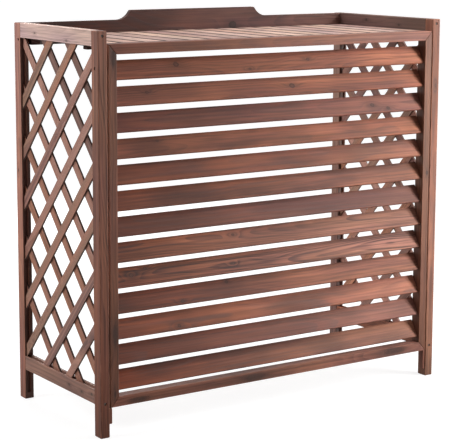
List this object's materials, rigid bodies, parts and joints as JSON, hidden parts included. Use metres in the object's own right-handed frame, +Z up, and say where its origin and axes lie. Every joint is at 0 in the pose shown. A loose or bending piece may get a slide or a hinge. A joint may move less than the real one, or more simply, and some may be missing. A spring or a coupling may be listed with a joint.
{
  "type": "air conditioner screen",
  "caption": "Wooden cover for an outdoor air conditioner unit: louvered front panel, lattice sides, slatted shelf on top and a raised back board, open at the rear and below.",
  "frame": {"origin": "on the floor, under the middle of the screen's bounding box", "axes": "+X to the right seen from the front, +Y from the louvered front to the open rear, +Z up"},
  "size_m": [0.93, 0.384, 0.892],
  "materials": {
    "post_wood": "stained softwood, satin, grain along each piece",
    "rail_wood": "stained softwood, satin, grain along each piece",
    "lattice_wood": "stained softwood, satin, grain along each piece",
    "frame_wood": "stained softwood, satin, grain along each piece",
    "louver_wood": "stained softwood, satin, grain along each piece",
    "slat_wood": "stained softwood, satin, grain along each piece",
    "board_wood": "stained softwood, satin, grain along each piece",
    "bearer_wood": "stained softwood, satin, grain along each piece",
    "screw_steel": "plain steel screws, dull"
  },
  "bodies": {
    "root": {"front_left_post": "post_wood", "front_right_post": "post_wood", "rear_left_post": "post_wood", "rear_right_post": "post_wood", "left_top_rail": "rail_wood", "left_bottom_rail": "rail_wood", "left_lattice": "lattice_wood", "right_top_rail": "rail_wood", "right_bottom_rail": "rail_wood", "right_lattice": "lattice_wood", "panel_left_stile": "frame_wood", "panel_right_stile": "frame_wood", "panel_top_rail": "frame_wood", "panel_bottom_rail": "frame_wood", "louver_01": "louver_wood", "louver_02": "louver_wood", "louver_03": "louver_wood", "louver_04": "louver_wood", "louver_05": "louver_wood", "louver_06": "louver_wood", "louver_07": "louver_wood", "louver_08": "louver_wood", "louver_09": "louver_wood", "louver_10": "louver_wood", "louver_11": "louver_wood", "louver_12": "louver_wood", "louver_13": "louver_wood", "shelf_slat_01": "slat_wood", "shelf_slat_02": "slat_wood", "shelf_slat_03": "slat_wood", "shelf_slat_04": "slat_wood", "shelf_slat_05": "slat_wood", "shelf_slat_06": "slat_wood", "shelf_slat_07": "slat_wood", "shelf_slat_08": "slat_wood", "shelf_slat_09": "slat_wood", "shelf_slat_10": "slat_wood", "shelf_slat_11": "slat_wood", "shelf_slat_12": "slat_wood", "shelf_slat_13": "slat_wood", "shelf_slat_14": "slat_wood", "shelf_slat_15": "slat_wood", "shelf_slat_16": "slat_wood", "back_board": "board_wood", "front_shelf_batten": "bearer_wood", "rear_shelf_batten": "bearer_wood", "front_shelf_ledger": "bearer_wood", "rear_shelf_ledger": "bearer_wood", "left_panel_cleat": "bearer_wood", "right_panel_cleat": "bearer_wood", "front_left_top_screw": "screw_steel", "front_left_lower_screw": "screw_steel", "front_right_top_screw": "screw_steel", "front_right_lower_screw": "screw_steel", "left_panel_screw": "screw_steel", "right_panel_screw": "screw_steel", "left_board_screw": "screw_steel", "right_board_screw": "screw_steel"}
  },
  "joints": []
}
